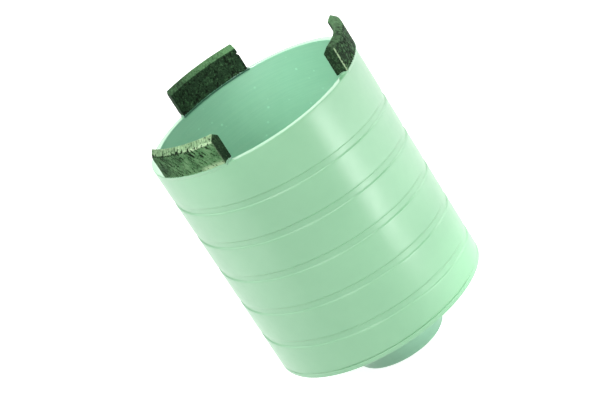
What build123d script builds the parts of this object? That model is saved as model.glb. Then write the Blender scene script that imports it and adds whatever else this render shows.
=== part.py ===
"""Dry socket core bit: a spiral-grooved steel cup with roof-topped diamond segments on its rim.

Millimetres, +Z up along the axis of rotation. The origin is the centre of the hub's end face,
so the bit stands on its hub with its cutting rim up.
"""

from build123d import *
import math
import os

# Cutting circle, and the barrel: a steel tube that runs clear inside it
cutting_diameter = 68.0
outer_clearance = 0.5          # the segments stand this much outside the barrel
inner_clearance = 0.7          # and this much inside its bore
wall_thickness = 2.0
cup_height = 72.8              # from the underside of the base plate up to the rim
rim_chamfer = 0.2

# Spiral groove turned into the outside of the barrel, left-handed, with 45 degree walls
groove_width = 2.4             # at the surface of the barrel
groove_depth = 0.35
groove_pitch = 12.0
groove_turns = 5
groove_rim_distance = 8.45     # from the rim down to the middle of the groove's upper end
groove_end_angle = 90.0        # both ends of the groove lie at this angle

# Base plate: a disc with a lip that carries the tube and a spigot inside it
plate_thickness = 5.0
lip_height = 1.5
seam_chamfer = 0.3             # bevels that leave the joint line between tube and lip
plate_edge_fillet = 0.4
spigot_clearance = 0.05        # radial, tube to plate and plate to hub

# Hub: a turned boss with a threaded through hole for the arbor
hub_diameter = 28.4
hub_length = 13.4
hub_spigot_diameter = 22.0
hub_edge_chamfer = 0.6
thread_diameter = 16.0
thread_pitch = 2.0
thread_minor_factor = 1.0825   # a metric female thread's minor diameter is this many pitches smaller
thread_mouth_clearance = 0.4   # the countersink's mouth is wider than the thread by this much

# Diamond segments, with parallel ends and a roof along the top
segment_count = 3
segment_length = 24.0          # across the parallel ends
segment_height = 9.0           # from the underside to the ridge of the roof
roof_height = 1.55             # from the eaves of the roof to its ridge
first_segment_angle = 90.0
segment_trim_angle = 2.0       # the arc is made this much longer at each end, then cut to length

# Weld root: the low step on the rim that each segment stands on
weld_height = 0.3
weld_end_inset = 0.8           # the step stops this much short of the segment's ends
weld_side_inset = 0.1          # and this much inside both faces of the wall

# Worked out from the sizes above
segment_outer_radius = cutting_diameter / 2
barrel_radius = segment_outer_radius - outer_clearance
bore_radius = barrel_radius - wall_thickness
segment_inner_radius = bore_radius - inner_clearance
segment_middle_radius = (segment_outer_radius + segment_inner_radius) / 2
tube_bottom = hub_length + lip_height
plate_top = hub_length + plate_thickness
rim = hub_length + cup_height
plate_hole_radius = hub_spigot_diameter / 2 + spigot_clearance
thread_minor_radius = (thread_diameter - thread_minor_factor * thread_pitch) / 2
thread_mouth_radius = (thread_diameter + thread_mouth_clearance) / 2
groove_height = groove_turns * groove_pitch
groove_bottom = rim - groove_rim_distance - groove_height
segment_bottom = rim + weld_height
segment_eaves = segment_bottom + segment_height - roof_height
segment_ridge = segment_bottom + segment_height
segment_angles = [first_segment_angle + i * 360 / segment_count for i in range(segment_count)]


def direction(degrees):
    """The horizontal unit vector at an angle from +X."""
    return Vector(math.cos(math.radians(degrees)), math.sin(math.radians(degrees)), 0)


def level_plane(height, degrees):
    """A horizontal plane whose X axis points to an angle."""
    return Plane(origin=(0, 0, height), x_dir=direction(degrees), z_dir=(0, 0, 1))


def upright_plane(degrees):
    """A plane that holds the axis of rotation, with X outward at an angle and Y up."""
    return Plane(origin=(0, 0, 0), x_dir=direction(degrees), z_dir=direction(degrees - 90))


def half_angle(half_width, radius):
    """The angle from the middle of an arc to where it has moved sideways by half_width."""
    return math.degrees(math.asin(half_width / radius))


os.makedirs("parts", exist_ok=True)

# The groove's cutter follows the helix with its middle on the surface of the barrel, and is
# made with both ends towards +X. Its section widens outward at 45 degrees, and its ends are round.
groove_floor_width = groove_width - 2 * groove_depth
groove_outer_width = groove_width + 2 * groove_depth
with BuildPart() as groove_cutter:
    with BuildLine(Plane.XY.offset(groove_bottom)) as spiral:
        Helix(groove_pitch, groove_height, barrel_radius, lefthand=True)
    with BuildSketch(Plane(origin=spiral.line @ 0, x_dir=(1, 0, 0), z_dir=spiral.line % 0)):
        with BuildLine():
            Polyline(
                (-groove_depth, -groove_floor_width / 2),
                (groove_depth, -groove_outer_width / 2),
                (groove_depth, groove_outer_width / 2),
                (-groove_depth, groove_floor_width / 2),
                close=True,
            )
        make_face()
    sweep(path=spiral.line, is_frenet=True)
    for end in (spiral.line @ 0, spiral.line @ 1):
        with Locations(Plane(origin=end, z_dir=(1, 0, 0))):
            Cone(groove_floor_width / 2, groove_outer_width / 2, 2 * groove_depth)

with BuildPart() as barrel:
    with BuildSketch(Plane.XZ):
        with Locations((bore_radius, tube_bottom)):
            Rectangle(wall_thickness, rim - tube_bottom, align=Align.MIN)
    revolve(axis=Axis.Z)
    rings = barrel.edges().filter_by(GeomType.CIRCLE).group_by(Axis.Z)
    chamfer(rings[0].sort_by(SortBy.RADIUS)[-1], seam_chamfer)
    chamfer(barrel.edges().filter_by(GeomType.CIRCLE).group_by(Axis.Z)[-1], rim_chamfer)
    add(groove_cutter.part, rotation=(0, 0, groove_end_angle), mode=Mode.SUBTRACT)
    weld_half_angle = half_angle(segment_length / 2 - weld_end_inset, segment_middle_radius)
    for angle in segment_angles:
        with BuildSketch(upright_plane(angle - weld_half_angle)):
            with Locations((bore_radius + weld_side_inset, rim - rim_chamfer)):
                Rectangle(
                    wall_thickness - 2 * weld_side_inset,
                    rim_chamfer + weld_height,
                    align=Align.MIN,
                )
        revolve(axis=Axis.Z, revolution_arc=2 * weld_half_angle)
barrel.part.label = "barrel"
export_step(barrel.part, "parts/barrel.step")

with BuildPart() as base_plate:
    with BuildSketch(Plane.XZ):
        with BuildLine():
            Polyline(
                (plate_hole_radius, hub_length),
                (barrel_radius, hub_length),
                (barrel_radius, tube_bottom),
                (bore_radius - spigot_clearance, tube_bottom),
                (bore_radius - spigot_clearance, plate_top),
                (plate_hole_radius, plate_top),
                close=True,
            )
        make_face()
    revolve(axis=Axis.Z)
    outer_rings = base_plate.edges().filter_by(GeomType.CIRCLE).group_by(SortBy.RADIUS)[-1]
    fillet(outer_rings.sort_by(Axis.Z)[0], plate_edge_fillet)
    chamfer(outer_rings.sort_by(Axis.Z)[-1], seam_chamfer)
base_plate.part.label = "base_plate"
export_step(base_plate.part, "parts/base_plate.step")

with BuildPart() as hub:
    with BuildSketch(Plane.XZ):
        with BuildLine():
            Polyline(
                (thread_minor_radius, 0),
                (hub_diameter / 2, 0),
                (hub_diameter / 2, hub_length),
                (hub_spigot_diameter / 2, hub_length),
                (hub_spigot_diameter / 2, plate_top),
                (thread_minor_radius, plate_top),
                close=True,
            )
        make_face()
    revolve(axis=Axis.Z)
    end_rings = hub.edges().filter_by(GeomType.CIRCLE).group_by(Axis.Z)[0].sort_by(SortBy.RADIUS)
    chamfer(end_rings[0], thread_mouth_radius - thread_minor_radius)
    chamfer(end_rings[-1], hub_edge_chamfer)
hub.part.label = "hub"
export_step(hub.part, "parts/hub.step")

# Each segment is an arc with a roofed section, then trimmed to its parallel ends
arc_half_angle = half_angle(segment_length / 2, segment_inner_radius) + segment_trim_angle
for number, angle in enumerate(segment_angles, start=1):
    with BuildPart() as segment:
        with BuildSketch(upright_plane(angle - arc_half_angle)):
            with BuildLine():
                Polyline(
                    (segment_inner_radius, segment_bottom),
                    (segment_outer_radius, segment_bottom),
                    (segment_outer_radius, segment_eaves),
                    (segment_middle_radius, segment_ridge),
                    (segment_inner_radius, segment_eaves),
                    close=True,
                )
            make_face()
        revolve(axis=Axis.Z, revolution_arc=2 * arc_half_angle)
        with BuildSketch(level_plane(segment_bottom, angle)):
            Rectangle(cutting_diameter, segment_length, align=(Align.MIN, Align.CENTER))
        extrude(amount=segment_height, mode=Mode.INTERSECT)
    segment.part.label = f"segment_{number}"
    export_step(segment.part, f"parts/segment_{number}.step")
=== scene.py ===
"""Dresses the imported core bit: painted barrel, plate and threaded hub, sintered segments, studio.

Metres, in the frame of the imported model: +Z is the axis of rotation, from the hub to the rim.
"""
from collections import namedtuple
import math

import bmesh
import bpy
from mathutils import Matrix, Vector, noise


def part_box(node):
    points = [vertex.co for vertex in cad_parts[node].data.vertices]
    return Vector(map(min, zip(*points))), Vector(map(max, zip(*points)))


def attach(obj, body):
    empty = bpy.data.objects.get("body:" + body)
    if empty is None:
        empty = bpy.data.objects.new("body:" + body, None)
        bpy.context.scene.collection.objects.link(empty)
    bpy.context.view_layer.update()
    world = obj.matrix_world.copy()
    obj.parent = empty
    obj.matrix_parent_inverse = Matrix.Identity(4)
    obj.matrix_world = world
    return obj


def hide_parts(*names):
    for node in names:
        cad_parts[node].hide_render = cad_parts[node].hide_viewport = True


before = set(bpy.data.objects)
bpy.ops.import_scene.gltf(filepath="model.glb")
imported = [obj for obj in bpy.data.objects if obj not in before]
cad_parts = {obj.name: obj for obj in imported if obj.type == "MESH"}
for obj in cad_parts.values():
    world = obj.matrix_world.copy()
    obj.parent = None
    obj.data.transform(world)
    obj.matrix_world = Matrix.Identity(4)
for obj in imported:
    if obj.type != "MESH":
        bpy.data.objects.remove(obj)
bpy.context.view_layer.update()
scene = bpy.context.scene

MM = 0.001

# ---------------------------------------------------------------- sizes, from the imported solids
barrel_low, barrel_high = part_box("barrel")
plate_low, plate_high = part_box("base_plate")
hub_low, hub_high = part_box("hub")
segment_low, segment_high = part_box("segment_1")

# Barrel
barrel_radius = barrel_high.x
wall_thickness = 2.0 * MM
bore_radius = barrel_radius - wall_thickness
tube_bottom = barrel_low.z
segment_bottom = barrel_high.z
weld_height = 0.3 * MM
rim = segment_bottom - weld_height
rim_rounding = 0.2 * MM
seam_chamfer = 0.3 * MM

# Groove
groove_width = 2.4 * MM
groove_depth = 0.35 * MM
groove_pitch = 12.0 * MM
groove_turns = 5
groove_end_angle = math.radians(90.0)
groove_top = rim - 8.45 * MM
groove_runout = math.radians(9.0)  # each end comes up to full depth over this angle
groove_easing = 0.18               # share of the depth by which the wall's corners are eased
feed_mark_pitch = 0.42 * MM
feed_mark_depth = 0.015 * MM

# Base plate
plate_bottom = plate_low.z
plate_top = plate_high.z
plate_edge_rounding = 0.4 * MM
plate_lip_rounding = 0.05 * MM
plate_spigot_rounding = 0.15 * MM

# Hub and its metric thread
hub_radius = hub_high.x
hub_spigot_radius = 11.0 * MM
hub_edge_chamfer = 0.6 * MM
hub_edge_rounding = 0.1 * MM
thread_radius = 8.0 * MM
thread_pitch = 2.0 * MM
thread_depth_share = 0.54125       # a metric thread's depth, in pitches
thread_minor_radius = thread_radius - thread_depth_share * thread_pitch
thread_mouth_radius = thread_radius + 0.2 * MM
thread_lead_out = 0.5 * MM         # below the plate's top, where the thread opens into the cup

# Segments
segment_length = segment_high.x - segment_low.x
segment_outer_radius = segment_high.y
segment_inner_radius = bore_radius - 0.7 * MM
segment_middle_radius = (segment_outer_radius + segment_inner_radius) / 2
segment_ridge = segment_high.z
segment_eaves = segment_ridge - 1.55 * MM
segment_foot_rounding = 0.1 * MM
segment_edge_rounding = 0.22 * MM
segment_angles = {f"segment_{i + 1}": math.radians(90 + 120 * i) for i in range(3)}

# Columns of faces round the axis, and the turns that a spiral skin has to spare at each end
barrel_columns = 288
thread_columns = 96
spare_turns = 2


# ---------------------------------------------------------------- meshes
def make_piece(name, bm, material, sharp_degrees=40.0):
    """Turns a bmesh into an object with smooth faces and edges left sharp past an angle."""
    bmesh.ops.recalc_face_normals(bm, faces=bm.faces)
    mesh = bpy.data.meshes.new(name)
    bm.to_mesh(mesh)
    bm.free()
    for polygon in mesh.polygons:
        polygon.use_smooth = True
    mesh.set_sharp_from_angle(angle=math.radians(sharp_degrees))
    mesh.materials.append(material)
    piece = bpy.data.objects.new(name, mesh)
    scene.collection.objects.link(piece)
    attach(piece, "root")
    return piece


def polar(radius, angle, height):
    """A point at a radius and an angle round the axis."""
    return Vector((radius * math.cos(angle), radius * math.sin(angle), height))


def clamp(value):
    return min(max(value, 0.0), 1.0)


def smooth(value):
    """Rises from 0 to 1 with smooth ends."""
    value = clamp(value)
    return value * value * (3 - 2 * value)


def band(value, low, high):
    """Rises from 0 to 1 between two values."""
    return smooth((value - low) / (high - low))


def rounded(corners, steps=4):
    """A closed outline through (radius, height, rounding) corners, each rounded by an arc."""
    outline = []
    for i, (r, z, rounding) in enumerate(corners):
        here = Vector((r, z))
        before = Vector(corners[i - 1][:2]) - here
        after = Vector(corners[(i + 1) % len(corners)][:2]) - here
        if rounding == 0:
            outline.append((here.x, here.y))
            continue
        half = before.angle(after) / 2
        reach = rounding / math.tan(half)
        start = here + before.normalized() * reach
        end = here + after.normalized() * reach
        inward = (before.normalized() + after.normalized()).normalized()
        centre = here + inward * rounding / math.sin(half)
        for step in range(steps + 1):
            spoke = (start - centre).lerp(end - centre, step / steps).normalized() * rounding
            outline.append(((centre + spoke).x, (centre + spoke).y))
    return outline


def arc(centre_r, centre_z, radius, start, end, steps=4):
    """Points of a quarter round, by angle in degrees from outward."""
    angles = [math.radians(start + (end - start) * i / steps) for i in range(steps + 1)]
    return [(centre_r + radius * math.cos(a), centre_z + radius * math.sin(a)) for a in angles]


def evenly(outline, count):
    """A number of points spaced evenly along a closed outline."""
    points = [Vector(p) for p in outline]
    points.append(points[0])
    lengths = [(there - here).length for here, there in zip(points, points[1:])]
    step = sum(lengths) / count
    result = []
    i = 0
    gone = 0.0
    for k in range(count):
        while gone + lengths[i] < k * step - 1e-12:
            gone += lengths[i]
            i += 1
        result.append(points[i].lerp(points[i + 1], (k * step - gone) / lengths[i]))
    return result


def turned(name, corners, material):
    """A turned piece: a rounded outline carried round the axis."""
    outline = rounded(corners)
    bm = bmesh.new()
    rings = []
    for column in range(barrel_columns):
        angle = 2 * math.pi * column / barrel_columns
        rings.append([bm.verts.new(polar(r, angle, z)) for r, z in outline])
    for here, there in zip(rings, rings[1:] + rings[:1]):
        for i in range(len(outline)):
            j = (i + 1) % len(outline)
            bm.faces.new((here[i], there[i], there[j], here[j]))
    return make_piece(name, bm, material)


def spiral_surface(radius_at, pitch, knots, top, start_angle, turns, columns):
    """A strip that winds down left-handed, one pitch tall, so that its turns join edge to edge.

    knots are heights within one pitch, from its top down; radius_at(turn, knot) gives the radius.
    The strip has spare turns above its top and below its last turn, to be trimmed off.
    """
    bm = bmesh.new()
    first = -spare_turns * columns
    last = round((turns + spare_turns) * columns)
    strip = {}
    for column in range(first, last + 1):
        turn = column / columns
        angle = start_angle + 2 * math.pi * turn
        for i, knot in enumerate(knots):
            height = top - pitch * turn + knot
            strip[column, i] = bm.verts.new(polar(radius_at(turn, knot), angle, height))
    count = len(knots)
    for column in range(first, last):
        for i in range(count):
            if i + 1 < count:
                lower = strip[column, i + 1], strip[column + 1, i + 1]
            elif column + columns + 1 <= last:
                lower = strip[column + columns, 0], strip[column + columns + 1, 0]
            else:
                continue
            bm.faces.new((strip[column, i], *lower, strip[column + 1, i]))
    return bm


def trim(bm, height, keep_below):
    """Cuts a mesh at a height and returns the edges of the cut."""
    everything = bm.verts[:] + bm.edges[:] + bm.faces[:]
    cut = bmesh.ops.bisect_plane(
        bm,
        geom=everything,
        dist=1e-7,
        plane_co=(0, 0, height),
        plane_no=(0, 0, 1 if keep_below else -1),
        clear_outer=True,
    )
    return [e for e in cut["geom_cut"] if isinstance(e, bmesh.types.BMEdge) and e.is_boundary]


def carry_on(bm, edges, outline):
    """Extrudes a ring of edges along an outline of (radius, height) points."""
    for radius, height in outline:
        grown = bmesh.ops.extrude_edge_only(bm, edges=edges)["geom"]
        edges = [g for g in grown if isinstance(g, bmesh.types.BMEdge) and g.is_boundary]
        for vertex in {v for e in edges for v in e.verts}:
            angle = math.atan2(vertex.co.y, vertex.co.x)
            vertex.co = polar(radius, angle, height)
    return edges


# ---------------------------------------------------------------- barrel, base plate and hub
def groove_radius(turn, knot):
    """The barrel's outside: 45 degree walls with eased corners, and a faintly ridged floor."""
    reach = groove_runout / (2 * math.pi)
    fade = smooth(turn / reach) * smooth((groove_turns - turn) / reach)
    wall = (groove_width / 2 - abs(knot)) / groove_depth
    ridge = 0.0
    if wall <= -groove_easing:
        depth = 0.0
    elif wall < groove_easing:
        depth = (wall + groove_easing) ** 2 / (4 * groove_easing)
    elif wall < 1 - groove_easing:
        depth = wall
    elif wall < 1 + groove_easing:
        depth = 1 - (1 + groove_easing - wall) ** 2 / (4 * groove_easing)
    else:
        depth = 1.0
    if wall > 1 + groove_easing:
        ridge = feed_mark_depth * math.cos(2 * math.pi * knot / feed_mark_pitch)
    return barrel_radius - fade * (groove_depth * depth + ridge)


def make_barrel(material):
    """The tube: a spiral skin with the groove, carried on over the rim, down the bore and back."""
    floor_edge = groove_width / 2 - groove_depth
    floor_knots = [feed_mark_pitch / 4 * i for i in range(8)]
    wall_knots = [floor_edge + groove_depth * share for share in (-0.2, 0.0, 0.2, 0.5, 0.8, 1.0, 1.2)]
    land_knots = [2.0 * MM, 3.2 * MM, 4.6 * MM]
    upper = {round(knot, 8) for knot in floor_knots + wall_knots + land_knots if knot > 0}
    upper = sorted(upper, reverse=True)
    knots = [groove_pitch / 2] + upper + [0.0] + [-knot for knot in reversed(upper)]
    bm = spiral_surface(
        groove_radius, groove_pitch, knots, groove_top, groove_end_angle, groove_turns, barrel_columns
    )
    upper_ring = trim(bm, rim - rim_rounding, keep_below=True)
    lower_ring = trim(bm, tube_bottom + seam_chamfer, keep_below=False)
    outer_round = arc(barrel_radius - rim_rounding, rim - rim_rounding, rim_rounding, 0, 90)
    inner_round = arc(bore_radius + rim_rounding, rim - rim_rounding, rim_rounding, 90, 180)
    over_rim = outer_round[1:] + inner_round + [(bore_radius, tube_bottom + seam_chamfer)]
    seam = [(barrel_radius - seam_chamfer, tube_bottom), (bore_radius, tube_bottom)]
    inner_end = carry_on(bm, upper_ring, over_rim)
    lower_end = carry_on(bm, lower_ring, seam)
    bmesh.ops.bridge_loops(bm, edges=inner_end + lower_end)
    barrel = make_piece("barrel_shell", bm, material)
    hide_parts("barrel")
    return barrel


def make_plate(material):
    """The base plate: a turned disc with the lip under the tube and the spigot inside it."""
    corners = [
        (hub_spigot_radius, plate_bottom, 0),
        (barrel_radius, plate_bottom, plate_edge_rounding),
        (barrel_radius, tube_bottom - seam_chamfer, plate_lip_rounding),
        (barrel_radius - seam_chamfer, tube_bottom, 0),
        (bore_radius, tube_bottom, 0),
        (bore_radius, plate_top, plate_spigot_rounding),
        (hub_spigot_radius, plate_top, 0),
    ]
    plate = turned("base_disc", corners, material)
    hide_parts("base_plate")
    return plate


def thread_wall(turn, knot):
    """The wall of the female thread: eased flanks between flats at the root and the crest."""
    root_half, crest_starts = 0.09 * thread_pitch, 0.37 * thread_pitch
    rise = thread_radius - thread_minor_radius
    return thread_radius - rise * band(abs(knot), root_half, crest_starts)


def make_hub(material):
    """The turned boss and its spigot outside, with the thread cut through both inside."""
    upper = [thread_pitch * share for share in (0.5, 0.42, 0.35, 0.27, 0.19, 0.11, 0.04)]
    knots = upper + [-knot for knot in reversed(upper[1:])]
    turns = (plate_top - hub_low.z) / thread_pitch
    bm = spiral_surface(thread_wall, thread_pitch, knots, plate_top, 0.0, turns, thread_columns)
    # Mirrored, the left-handed strip is the right-handed thread.
    for vertex in bm.verts:
        vertex.co.y = -vertex.co.y
    upper_ring = trim(bm, plate_top - thread_lead_out, keep_below=True)
    lower_ring = trim(bm, hub_low.z + thread_mouth_radius - thread_radius, keep_below=False)
    # The countersink is a 45 degree cone, which cuts the first turns of the thread.
    for vertex in bm.verts:
        countersink = thread_mouth_radius - (vertex.co.z - hub_low.z)
        widened = max(1.0, countersink / vertex.co.xy.length)
        vertex.co.x *= widened
        vertex.co.y *= widened
    rounding = hub_edge_rounding
    spigot = [(thread_radius, plate_top - rounding), (thread_radius + rounding, plate_top)]
    spigot += arc(hub_spigot_radius - rounding, plate_top - rounding, rounding, 90, 0)
    spigot += [(hub_spigot_radius, plate_bottom)]
    boss = [
        (thread_mouth_radius, hub_low.z),
        (hub_radius - hub_edge_chamfer, hub_low.z),
        (hub_radius - rounding, hub_low.z + hub_edge_chamfer - rounding),
        (hub_radius, hub_low.z + hub_edge_chamfer + rounding),
        (hub_radius, plate_bottom),
    ]
    upper_end = carry_on(bm, upper_ring, spigot)
    lower_end = carry_on(bm, lower_ring, boss)
    bmesh.ops.bridge_loops(bm, edges=upper_end + lower_end)
    hub = make_piece("threaded_hub", bm, material)
    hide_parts("hub")
    return hub


# ---------------------------------------------------------------- segments
# How far each segment is rubbed bright on its outer face, which also sets its painted eave highlight,
# and on
# its roof; how far its upright outer corners are rubbed and carry a painted highlight; and its more
# worn end:
# 1 for the clockwise one seen from the rim, -1 for the other.
WearAndGlint = namedtuple("WearAndGlint", "face roof corner end")
segment_wear_and_glint = {
    "segment_1": WearAndGlint(face=0.35, roof=0.05, corner=0.1, end=1),
    "segment_2": WearAndGlint(face=1.0, roof=1.0, corner=0.15, end=-1),
    "segment_3": WearAndGlint(face=0.12, roof=0.08, corner=1.0, end=-1),
}

# Sizes of the marks in a segment's skin, each along three directions. For streaks, beads and
# patches these are across the lean of the streaks, along it, and into the segment. For scratches
# they are along the segment, up, and through it, and for the rest along, through and up.
streak_lean = math.radians(-32.0)
outer_streak = (0.34 * MM, 2.2 * MM, 2 * MM)
inner_streak = (0.34 * MM, 0.8 * MM, 2 * MM)
bead_size = (0.5 * MM, 0.5 * MM, 2 * MM)
patch_size = (2.4 * MM, 3.5 * MM, 4 * MM)
scratch_size = (0.17 * MM, 3 * MM, 3 * MM)
chip_size = (0.55 * MM, 0.9 * MM, 0.7 * MM)
fine_size = (0.32 * MM,) * 3
broad_size = (2.6 * MM,) * 3
hole_size = (0.6 * MM,) * 3
blotch_size = (0.75 * MM,) * 3

# Lines along the eaves, as heights from them: where each starts, is whole, starts to fade and ends. The
# shadow is a painted shadow, the glint a painted highlight.
eave_chips = (-0.9 * MM, -0.1 * MM, 0.5 * MM, 0.9 * MM)
eave_shadow = (-0.4 * MM, -0.2 * MM, 0.0, 0.2 * MM)
eave_glint = (-0.55 * MM, -0.2 * MM, 0.1 * MM, 0.35 * MM)
# Distances from the segment's middle, towards its worn end, between which the eaves' painted shadow
# fades.
shadow_end = (1.0 * MM, 4.0 * MM)
# Heights from the segment's foot between which its rubbed patch fades.
low_patch = (0.6 * MM, 1.8 * MM)
# Distances from the upright outer corners between which their rubbed edge, with its painted highlight,
# fades.
corner_edge = (0.12 * MM, 0.30 * MM)

pit_depth = 0.16 * MM
scratch_depth = 0.05 * MM
grain_depth = 0.035 * MM
skin_spacing = 0.17 * MM
skin_points = 128

# One nick, in the upper part of an upright inner corner, facing along the segment with a lean
nicked_segment = "segment_1"
nick_height = segment_bottom + 5.6 * MM
nick_half_height = (0.2 * MM, 0.42 * MM)  # at its floor, and at its mouth
nick_depth = 1.0 * MM
nick_lean = math.radians(14.0)


def in_segment(angle, along, radius, height):
    """A point of a segment: along its tangent, at a radius from the axis, at a height."""
    outward = math.sqrt(radius * radius - along * along)
    return Matrix.Rotation(angle - math.pi / 2, 3, "Z") @ Vector((along, outward, height))


def loft(rows, name, material, sharp_degrees):
    """A closed skin over rows of points, with its two ends filled."""
    bm = bmesh.new()
    loops = [[bm.verts.new(p) for p in row] for row in rows]
    count = len(rows[0])
    for near, far in zip(loops, loops[1:]):
        for i in range(count):
            j = (i + 1) % count
            bm.faces.new((near[i], near[j], far[j], far[i]))
    bm.faces.new(loops[0])
    bm.faces.new(reversed(loops[-1]))
    return make_piece(name, bm, material, sharp_degrees)


def grain(place, size, offset):
    """Noise from -1 to 1 with features of about a size, which may differ along the three axes."""
    return noise.noise(Vector(c / s for c, s in zip(place, size)) + offset)


def stripe(height, line):
    """1 within a line along the eaves, fading to 0 on both sides of it."""
    enter, full, fading, gone = (segment_eaves + edge for edge in line)
    return band(height, enter, full) * (1 - band(height, fading, gone))


class Spot:
    """A point of a segment's skin: its place, the faces it is on, its wear and its grains."""

    def __init__(self, along, radius, height, normal, seed, wear_and_glint):
        self.along = along
        self.height = height
        self.from_corner = max(segment_length / 2 - abs(along), segment_outer_radius - radius)
        self.on_side = band(abs(normal.y), 0.55, 0.85)
        self.on_outer = band(normal.y, 0.55, 0.85)
        self.on_roof = band(normal.z, 0.35, 0.6)
        self.on_end = band(abs(normal.x), 0.6, 0.9)

        # From 0 to 1 towards the more worn end, and how far the outer face is rubbed there
        self.run = 0.5 + wear_and_glint.end * along / segment_length
        self.worn = self.on_outer * wear_and_glint.face * (0.35 + 0.65 * self.run)

        offset = Vector((37.0, 11.0, 5.0)) * seed
        place = Vector((along, radius, height))
        self.fine = grain(place, fine_size, offset)
        self.broad = grain(place, broad_size, offset)
        self.chip = grain(place, chip_size, offset * 2)
        self.hole = grain(place, hole_size, -offset)
        self.blotch = grain(place, blotch_size, offset * 4)
        self.scratch = grain((along, height, radius), scratch_size, offset)

        # The outer face's streaks lean over, and the inner face's stand upright.
        lean = streak_lean if normal.y > 0 else 0.0
        streak_size = outer_streak if normal.y > 0 else inner_streak
        across_streak = along * math.cos(lean) + height * math.sin(lean)
        along_streak = along * math.sin(lean) - height * math.cos(lean)
        leaning = (across_streak, along_streak, radius)
        self.streak = grain(leaning, streak_size, offset)
        self.bead = grain(leaning, bead_size, offset * 3)
        self.patch = grain(leaning, patch_size, -offset)


def pit_and_shadow_value(spot, wear_and_glint):
    """How deep a spot lies in a pit: in a streak, a chip or a hole; the eaves' painted shadow is
    carried here too.
    """
    streak = spot.on_side * band(spot.streak + 0.6 * spot.bead + 0.35 * spot.patch, 0.25, 0.38)
    chip = wear_and_glint.roof * stripe(spot.height, eave_chips) * band(spot.chip + 0.3 * spot.fine, 0.2, 0.38)
    # A painted shadow line under the eaves, also cut in a little.
    shadow = stripe(spot.height, eave_shadow) * wear_and_glint.face**2 * spot.on_side
    shadow *= 1 - band(wear_and_glint.end * spot.along, *shadow_end)
    shadow *= band(spot.chip + spot.fine, -0.4, 0.0)
    roof_hole = (0.3 + 0.5 * wear_and_glint.roof) * spot.on_roof * band(spot.hole + 0.25 * spot.broad, 0.42, 0.58)
    end_hole = 0.7 * spot.on_end * band(spot.hole + 0.3 * spot.fine, 0.3, 0.55)
    return max(streak, chip, shadow, roof_hole, end_hole)


def bright_value(spot, wear_and_glint, pit_and_shadow):
    """How light a spot is: rubbed on the roof and the outer face, a painted highlight along the eaves,
    and rubbed corners with a painted highlight.
    """
    roof = 0.3 + 0.3 * spot.run + 0.6 * spot.scratch + 0.3 * spot.broad
    bright = wear_and_glint.roof * spot.on_roof * roof
    bright += 0.2 * spot.worn * band(0.6 * spot.broad - spot.streak, 0.0, 0.5)
    rubbed_and_glint = spot.on_outer * wear_and_glint.face**2
    # A painted highlight along the eaves, towards the worn end.
    bright += 1.4 * rubbed_and_glint * stripe(spot.height, eave_glint) * band(spot.run, 0.5, 0.75)
    low = 1 - band(spot.height, *(segment_bottom + edge for edge in low_patch))
    bright += 0.65 * rubbed_and_glint * low * band(spot.run + 0.2 * spot.broad, 0.66, 0.9)
    # The upright outer corners: rubbed edges and a painted highlight.
    corner = wear_and_glint.corner * (1 - band(spot.from_corner, *corner_edge))
    return max(bright * (1 - pit_and_shadow), corner * (1.0 + 0.3 * spot.fine))


def tone_value(spot, wear_and_glint):
    """How far a spot goes from the dark to the light tone of the sinter."""
    tone = spot.worn + (0.2 + 0.6 * spot.run) * spot.on_roof
    tone += (0.5 * spot.broad + 0.6 * spot.fine) * (0.45 + spot.worn)
    tone += (0.3 + 0.9 * spot.on_outer * (1 - wear_and_glint.face)) * spot.blotch
    return tone


def nick_corner(point):
    """Cuts the nick in the inner upright corner at the +X end of segment_1, with a flat floor."""
    facing = Vector((math.cos(nick_lean), -math.sin(nick_lean)))
    half = segment_length / 2
    corner = Vector((half, math.sqrt(segment_inner_radius**2 - half**2)))
    cut = nick_depth * (1 - band(abs(point.z - nick_height), *nick_half_height))
    past = point.xy.dot(facing) - (corner.dot(facing) - cut)
    if past > 0 and cut > 0:
        point.x -= past * facing.x
        point.y -= past * facing.y


def segment_skin():
    """Rows of (along, radius, height) places over a segment, from one end to the other."""
    corners = [
        (segment_inner_radius, segment_bottom, segment_foot_rounding),
        (segment_outer_radius, segment_bottom, segment_foot_rounding),
        (segment_outer_radius, segment_eaves, segment_edge_rounding),
        (segment_middle_radius, segment_ridge, segment_edge_rounding),
        (segment_inner_radius, segment_eaves, segment_edge_rounding),
    ]
    section = evenly(rounded(corners), skin_points)
    middle = Vector((segment_middle_radius, (segment_bottom + segment_eaves) / 2))
    half = segment_length / 2
    # An end is rings of the section at ever larger shares of its size, the last two bent back.
    end = [(half, share) for share in (0.04, 0.14, 0.24, 0.34, 0.44, 0.54, 0.64, 0.73, 0.82, 0.9)]
    end += [(half - 0.02 * MM, 0.955), (half - 0.08 * MM, 0.985)]
    straight = segment_length - 2 * segment_edge_rounding
    columns = round(straight / skin_spacing)
    run = [(straight / 2 - straight * i / columns, 1.0) for i in range(columns + 1)]
    rows = end + run + [(-along, share) for along, share in reversed(end)]
    return [[(along, *(middle + (p - middle) * share)) for p in section] for along, share in rows]


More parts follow.
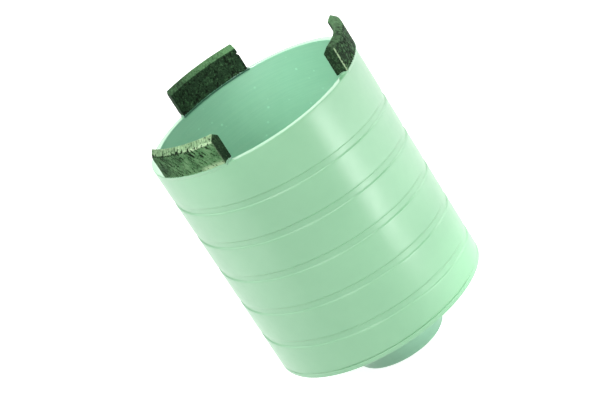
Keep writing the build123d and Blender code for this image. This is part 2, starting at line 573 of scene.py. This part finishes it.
def make_segment(name, material):
    """A sintered block on the arc, pointed like a roof, with grain, pits and scratches cut into it."""
    angle = segment_angles[name]
    seed = list(segment_angles).index(name) + 1
    wear_and_glint = segment_wear_and_glint[name]
    places = segment_skin()
    rows = [[in_segment(angle, *place) for place in row] for row in places]
    piece = loft(rows, name + "_block", material, 50.0)
    mesh = piece.data
    # Red holds pits and the painted eave shadow, green rubbed places and painted highlights, blue the
    # tone.
    values = mesh.color_attributes.new(name="surface", type="FLOAT_COLOR", domain="POINT")
    turn_back = Matrix.Rotation(math.pi / 2 - angle, 3, "Z")
    shifts = []
    for vertex, place in zip(mesh.vertices, [place for row in places for place in row]):
        spot = Spot(*place, turn_back @ vertex.normal, seed, wear_and_glint)
        pit_and_shadow = pit_and_shadow_value(spot, wear_and_glint)
        bright = clamp(bright_value(spot, wear_and_glint, pit_and_shadow))
        values.data[vertex.index].color = (pit_and_shadow, bright, clamp(tone_value(spot, wear_and_glint)), 1.0)
        shift = grain_depth * spot.fine - pit_depth * pit_and_shadow + scratch_depth * spot.on_roof * spot.scratch
        shifts.append(vertex.normal * shift)
    for vertex, shift in zip(mesh.vertices, shifts):
        vertex.co += shift
        if name == nicked_segment:
            nick_corner(vertex.co)
    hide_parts(name)
    return piece


# ---------------------------------------------------------------- welds
# How far each weld runs past the two ends of its segment, the clockwise one, seen from the rim, last.
weld_runs = {
    "segment_1": (0.3 * MM, 1.0 * MM),
    "segment_2": (0.4 * MM, 0.2 * MM),
    "segment_3": (0.08 * MM, 0.1 * MM),
}
# How dark the painted shade line under each weld is, inside the cup and past its ends.
painted_shade_share = {"segment_1": 0.95, "segment_2": 0.7, "segment_3": 0.2}

# The weld's skin from its foot to its top: the height above the rim, the distance of its outer side
# from the barrel's outside and of its inner side from the bore, all in millimetres; then the shares
# of its run past the segment's ends and of its painted shade.
weld_levels = [
    (-0.80, -0.06, 0.06, 0.75, 0.0),
    (-0.50, 0.10, -0.12, 0.95, 0.0),
    (-0.28, 0.24, -0.10, 1.00, 0.8),
    (-0.10, 0.33, -0.12, 0.95, 1.0),
    (0.02, 0.38, -0.30, 0.90, 0.8),
    (0.14, 0.48, -0.50, 0.60, 0.5),
    (0.30, 0.56, -0.66, 0.35, 0.5),
    (0.45, 0.56, -0.66, 0.15, 0.6),
    (0.58, 0.44, -0.45, 0.0, 0.0),
    (0.90, -0.20, 0.10, -0.25, 0.0),
]
weld_corner = 0.7 * MM
weld_bead_size = (0.9 * MM, 0.9 * MM, 0.5 * MM)
weld_bead_height = 0.1 * MM
weld_points = 220


def make_weld(name, material):
    """The fillet of weld round a segment's foot, painted over with the barrel."""
    angle = segment_angles[name]
    seed = list(segment_angles).index(name) + 1
    half = segment_length / 2
    left_run, right_run = weld_runs[name]
    rows = []
    painted_shade = []
    for height, outer, inner, run, dark in weld_levels:
        left = half + run * left_run
        right = half + run * right_run
        outer_radius = barrel_radius + outer * MM
        inner_radius = bore_radius + inner * MM
        middle_radius = (outer_radius + inner_radius) / 2
        corners = [
            (-left, inner_radius, weld_corner),
            (right, inner_radius, weld_corner),
            (right, outer_radius, weld_corner),
            (-left, outer_radius, weld_corner),
        ]
        row = []
        for along, radius in evenly(rounded(corners), weld_points):
            bead = grain((along, radius, height * MM), weld_bead_size, Vector((seed, 0, 0)))
            swell = weld_bead_height * bead
            sideways = 1 if radius > middle_radius else -1
            # Painted shade: a dark line on the sheltered inner side and past the segment's ends.
            sheltered = radius < middle_radius or abs(along) > half
            painted_shade.append(dark * painted_shade_share[name] * sheltered)
            longer = along * (1 + swell / half)
            row.append(in_segment(angle, longer, radius + swell * sideways, rim + height * MM))
        rows.append(row)
    weld = loft(rows, f"weld_bead_{seed}", material, 60.0)
    values = weld.data.attributes.new(name="painted_shade", type="FLOAT", domain="POINT")
    values.data.foreach_set("value", painted_shade)
    return weld


# ---------------------------------------------------------------- materials
class Finish:
    """A material's node tree, with a short call for each kind of node that the finishes use."""

    def __init__(self, name):
        self.material = bpy.data.materials.new(name)
        self.material.use_nodes = True
        self.tree = self.material.node_tree
        self.shader = self.tree.nodes["Principled BSDF"]
        self.place = self.node("TexCoord", {}, "Object")

    def node(self, kind, sockets, out=0, **settings):
        """Adds a node, links or sets its inputs, and returns one of its outputs."""
        node = self.tree.nodes.new("ShaderNode" + kind)
        for name, value in settings.items():
            setattr(node, name, value)
        for name, value in sockets.items():
            if isinstance(value, bpy.types.NodeSocket):
                self.tree.links.new(value, node.inputs[name])
            else:
                node.inputs[name].default_value = value
        return node.outputs[out]

    def math(self, operation, first, second=0.0, clamp=False):
        return self.node("Math", {0: first, 1: second}, operation=operation, use_clamp=clamp)

    def multiply(self, first, second):
        return self.math("MULTIPLY", first, second)

    def fade(self, value, low, high, bottom=0.0, top=1.0):
        """Maps a value from one range to another, with smooth ends."""
        sockets = {"Value": value, "From Min": low, "From Max": high, "To Min": bottom, "To Max": top}
        return self.node("MapRange", sockets, interpolation_type="SMOOTHSTEP")

    def mix(self, share, first, second):
        """Goes from the first colour to the second as the share goes from 0 to 1."""
        return self.node("Mix", {0: share, 6: first, 7: second}, 2, data_type="RGBA")

    def noise(self, size, detail=2.0, stretch=(1.0, 1.0, 1.0), roughness=0.5, offset=0.0):
        """Noise with features of about a size, in metres, stretched along the axes."""
        scale = tuple(1.0 / (size * s) for s in stretch)
        place = self.node("Mapping", {"Vector": self.place, "Scale": scale, "Location": (offset,) * 3})
        sockets = {"Vector": place, "Scale": 1.0, "Detail": detail, "Roughness": roughness}
        return self.node("TexNoise", sockets)

    def specks(self, spacing, size):
        """Small round spots with soft edges, one to a cell of about the spacing."""
        distance = self.node("TexVoronoi", {"Vector": self.place, "Scale": 1.0 / spacing})
        reach = size / spacing
        return self.fade(distance, reach, 0.4 * reach)

    def set(self, **sockets):
        """Sets the shader's sockets, named with underscores for spaces."""
        for name, value in sockets.items():
            socket = self.shader.inputs[name.replace("_", " ")]
            if isinstance(value, bpy.types.NodeSocket):
                self.tree.links.new(value, socket)
            else:
                socket.default_value = value

    def bump(self, height, depth, strength):
        sockets = {"Height": height, "Distance": depth, "Strength": strength}
        self.set(Normal=self.node("Bump", sockets))


def paint_material():
    """Satin mint paint: orange peel, turning marks, specks, a brushed coat in the cup, a paler, bluer
    coat in the cup as painted light, and painted shade under the welds.
    """
    outer_coats = (0.185, 0.475, 0.245, 1), (0.205, 0.505, 0.265, 1)
    # Inside the cup: the outer paint made paler and bluer, as painted light.
    inner_painted_light_coats = (0.235, 0.51, 0.335, 1), (0.265, 0.54, 0.365, 1)
    mottle_colour = (0.14, 0.38, 0.2, 1)
    dust_colour = (0.06, 0.2, 0.11, 1)
    nib_colour = (0.42, 0.78, 0.58, 1)
    brush_colour = (0.14, 0.40, 0.27, 1)
    # The colour of the painted shade under the welds.
    painted_shade_colour = (0.015, 0.085, 0.065, 1)

    finish = Finish("mint_paint")
    squares = []
    for axis in "XY":
        coordinate = finish.node("SeparateXYZ", {0: finish.place}, axis)
        squares.append(finish.math("POWER", coordinate, 2.0))
    radius = finish.math("SQRT", finish.math("ADD", *squares))
    inside = finish.fade(radius, bore_radius + 0.25 * MM, bore_radius + 0.05 * MM)

    # Two coats, each with slow changes of colour, and a fine mottle over both; the one inside the cup
    # is a paler, bluer copy of the outer paint, as painted light
    cloud = finish.fade(finish.noise(22 * MM, 3.0), 0.3, 0.7)
    mottle = finish.noise(2.4 * MM, 3.0, offset=7.0)
    coat = finish.mix(inside, finish.mix(cloud, *outer_coats), finish.mix(cloud, *inner_painted_light_coats))
    coat = finish.mix(finish.fade(mottle, 0.3, 0.8, 0.0, 0.08), coat, mottle_colour)

    # Dark dust in a few places, and pale nibs and brushed lines inside the cup
    dust_area = finish.fade(finish.noise(9 * MM, 2.0, offset=3.0), 0.62, 0.68, 0.0, 0.4)
    dust = finish.multiply(finish.specks(4.0 * MM, 0.1 * MM), dust_area)
    coat = finish.mix(dust, coat, dust_colour)
    nib_area = finish.fade(finish.noise(9 * MM, 2.0, offset=11.0), 0.42, 0.55, 0.0, 0.6)
    nibs = finish.multiply(finish.specks(3.0 * MM, 0.5 * MM), nib_area)
    coat = finish.mix(finish.multiply(nibs, inside), coat, nib_colour)
    lines = finish.noise(0.3 * MM, 2.0, stretch=(40.0, 40.0, 1.0), offset=9.0)
    brushed = finish.multiply(finish.fade(lines, 0.35, 0.65, 0.0, 0.15), inside)
    coat = finish.mix(brushed, coat, brush_colour)

    # Painted shade under the welds, read from their attribute, with the paint a little rougher there.
    painted_shade = finish.node("Attribute", {}, "Fac", attribute_name="painted_shade")
    coat = finish.mix(painted_shade, coat, painted_shade_colour)
    satin = finish.fade(mottle, 0.3, 0.7, 0.29, 0.34)
    duller = finish.multiply(painted_shade, 0.3)

    peel = finish.noise(1.1 * MM, 2.0, offset=5.0)
    turning = finish.noise(0.5 * MM, 2.0, stretch=(60.0, 60.0, 1.0), offset=1.0)
    finish.bump(finish.math("ADD", peel, finish.multiply(turning, 0.5)), 0.02 * MM, 0.5)
    finish.set(
        Base_Color=coat,
        Roughness=finish.math("ADD", satin, duller),
        IOR=1.6,
        Specular_IOR_Level=1.0,
    )
    return finish.material


def sinter_material():
    """Sintered diamond metal: dark pits and a painted shadow under the eaves, rubbed bright places and
    painted highlights at the eaves and corners, and a grain of diamond and bond.
    """
    dark_tone = (0.016, 0.036, 0.018, 1)
    light_tone = (0.10, 0.245, 0.10, 1)
    rubbed_and_glint_colour = (0.44, 0.63, 0.37, 1)
    diamond_colour = (0.2, 0.34, 0.17, 1)
    bond_colour = (0.012, 0.028, 0.014, 1)
    pit_and_shadow_colour = (0.008, 0.014, 0.008, 1)

    finish = Finish("sintered_metal")
    surface = finish.node("Attribute", {}, "Color", attribute_name="surface")
    channels = ("Red", "Green", "Blue")
    pit_and_shadow, bright, tone = (finish.node("SeparateColor", {0: surface}, channel) for channel in channels)
    grit = finish.noise(0.28 * MM, 3.0, roughness=0.7)
    body = finish.mix(tone, dark_tone, light_tone)
    body = finish.mix(bright, body, rubbed_and_glint_colour)
    body = finish.mix(finish.fade(grit, 0.56, 0.7, 0.0, 0.4), body, diamond_colour)
    body = finish.mix(finish.fade(grit, 0.46, 0.3, 0.0, 0.7), body, bond_colour)
    body = finish.mix(pit_and_shadow, body, pit_and_shadow_colour)
    finish.bump(grit, 0.05 * MM, 0.6)
    finish.set(
        Base_Color=body,
        Specular_IOR_Level=0.03,
        Roughness=finish.fade(grit, 0.3, 0.7, 0.45, 0.7),
    )
    return finish.material


def floor_material():
    """A pale floor, which takes shadows, and which the camera and reflections see as white."""
    floor_glow = 0.75
    finish = Finish("floor_white")
    seen = 0.0
    for ray in ("Is Camera Ray", "Is Glossy Ray", "Is Transmission Ray"):
        seen = finish.math("ADD", seen, finish.node("LightPath", {}, ray), clamp=True)
    grain_tone = finish.fade(finish.noise(40 * MM, 2.0), 0.3, 0.7, 0.78, 0.80)
    finish.set(
        Base_Color=finish.node("CombineColor", {0: grain_tone, 1: grain_tone, 2: grain_tone}),
        Roughness=0.9,
        Specular_IOR_Level=0.0,
        Emission_Color=(1, 1, 1, 1),
        Emission_Strength=finish.multiply(seen, floor_glow),
    )
    return finish.material


# ---------------------------------------------------------------- floor, lights, world and camera
# Soft lights round the bit: azimuth in degrees, distance and height of each; its width and height;
# and its brightness, where 1 is that of a white wall.
soft_lights = {
    "key": (-120, 0.6, 0.35, 0.31, 0.5, 2.4),
    "fill": (76, 0.6, 0.33, 0.31, 0.5, 1.6),
    "top": (-90, 0.2, 0.75, 0.5, 0.5, 1.6),
    "right_front_sky": (-45, 0.3, 0.6, 0.35, 0.35, 1.3),
    "left_front_sky": (-165, 0.3, 0.6, 0.35, 0.35, 1.6),
    "left_sky": (150, 0.45, 0.40, 0.35, 0.4, 1.6),
    "right_sky": (25, 0.45, 0.3, 0.45, 0.35, 2.2),
}

# Side walls: rows of panels, low and close, where the barrel's sheen mirrors them. Each row has the
# azimuth of its first panel and the brightness of each.
wall_distance = 0.12
wall_height = 0.07
wall_middle = 0.037
wall_step = 15
side_walls = {
    "right": (-60, [3.2, 0.95, 0.82, 0.68, 0.6, 0.3]),
    "left": (150, [0.4, 0.35, 0.4, 0.45]),
}

# Two lamps with a narrow cone: one over the near rim onto the cup's back wall, at a depth below the
# rim, and one along the floor at the hub
lamp_softness = 0.022
cup_lamp_reach = 0.212
cup_lamp_depth = 0.012
hub_lamp_reach = 0.25
hub_lamp_height = 0.003

world_light = 0.3
world_glow = 0.95  # for reflections, which see a white studio

camera_lens = 137.7
camera_turn = math.radians(13.7)
camera_pitch = math.radians(20.87)
camera_roll = math.radians(32.74)
camera_offset = Vector((-3.1, -617.3, 203.5)) * MM  # from the middle of the rim, before the turn


def make_floor():
    size = 3.0
    bm = bmesh.new()
    corners = [bm.verts.new((x * size, y * size, 0)) for x, y in ((-1, -1), (1, -1), (1, 1), (-1, 1))]
    bm.faces.new(corners)
    mesh = bpy.data.meshes.new("floor")
    bm.to_mesh(mesh)
    bm.free()
    mesh.materials.append(floor_material())
    floor = bpy.data.objects.new("floor", mesh)
    scene.collection.objects.link(floor)


def around(azimuth, radius, height):
    """A place round the bit, at an azimuth in degrees; the camera looks from -104."""
    return polar(radius, math.radians(azimuth), height)


def place_light(name, data, place, target):
    """Aims a light at a target, and keeps it out of the picture itself."""
    light = bpy.data.objects.new(name, data)
    aim = (target - place).to_track_quat("-Z", "Y").to_matrix().to_4x4()
    light.matrix_world = Matrix.Translation(place) @ aim
    light.visible_camera = False
    scene.collection.objects.link(light)


def soft_light(name, place, target, width, height, brightness):
    """A rectangular light; brightness 1 is that of a white wall."""
    data = bpy.data.lights.new(name, "AREA")
    data.shape = "RECTANGLE"
    data.size = width
    data.size_y = height
    data.energy = math.pi * width * height * brightness
    place_light(name, data, place, target)


def cone_light(name, place, target, cone_degrees, power):
    """A soft-edged cone of light, for one part of the bit."""
    data = bpy.data.lights.new(name, "SPOT")
    data.energy = power
    data.spot_size = math.radians(cone_degrees)
    data.spot_blend = 1.0
    data.shadow_soft_size = lamp_softness
    place_light(name, data, place, target)


def make_lights():
    """The soft lights round the bit, the two lamps, and the side walls."""
    middle = Vector((0, 0, (barrel_low.z + rim) / 2))
    for name, (azimuth, distance, height, *size_and_brightness) in soft_lights.items():
        soft_light(name, around(azimuth, distance, height), middle, *size_and_brightness)

    mouth = Vector((0, 0, rim))
    back_wall = mouth + around(50, bore_radius, -cup_lamp_depth)
    over_rim = mouth + around(-135, cup_lamp_reach, cup_lamp_reach)
    cone_light("cup_lamp", over_rim, back_wall, cone_degrees=14, power=4.0)
    low_on_hub = Vector((0, 0, hub_high.z / 5))
    beside_hub = around(-35, hub_lamp_reach, hub_lamp_height)
    cone_light("hub_lamp", beside_hub, low_on_hub, cone_degrees=10, power=3.5)

    wall_width = 2 * wall_distance * math.tan(math.radians(wall_step / 2))
    straight_in = Vector((0, 0, wall_middle))
    for side, (first, wall) in side_walls.items():
        for i, brightness in enumerate(wall):
            place = around(first + wall_step * i, wall_distance, wall_middle)
            soft_light(f"{side}_wall_{i}", place, straight_in, wall_width, wall_height, brightness)


def make_world():
    """An even white studio, stronger in reflections than as light on the bit."""
    world = bpy.data.worlds.new("world")
    scene.world = world
    world.use_nodes = True
    nodes = world.node_tree.nodes
    links = world.node_tree.links
    background = nodes["Background"]
    background.inputs["Color"].default_value = (1, 1, 1, 1)
    light_path = nodes.new("ShaderNodeLightPath")
    strength = nodes.new("ShaderNodeMapRange")
    strength.inputs["To Min"].default_value = world_light
    strength.inputs["To Max"].default_value = world_glow
    links.new(light_path.outputs["Is Glossy Ray"], strength.inputs["Value"])
    links.new(strength.outputs[0], background.inputs["Strength"])


def make_camera():
    data = bpy.data.cameras.new("camera")
    data.sensor_width = 36.0
    data.lens = camera_lens
    camera = bpy.data.objects.new("camera", data)
    scene.collection.objects.link(camera)
    camera.matrix_world = (
        Matrix.Rotation(-camera_turn, 4, "Z")
        @ Matrix.Translation(camera_offset + Vector((0, 0, rim)))
        @ Matrix.Rotation(math.pi / 2 - camera_pitch, 4, "X")
        @ Matrix.Rotation(-camera_roll, 4, "Z")
    )
    scene.camera = camera


paint = paint_material()
sinter = sinter_material()
for piece in (make_barrel(paint), make_plate(paint), make_hub(paint)):
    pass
for name in segment_angles:
    make_segment(name, sinter)
    make_weld(name, paint)
make_floor()
make_lights()
make_camera()
make_world()
scene.view_settings.view_transform = "Standard"
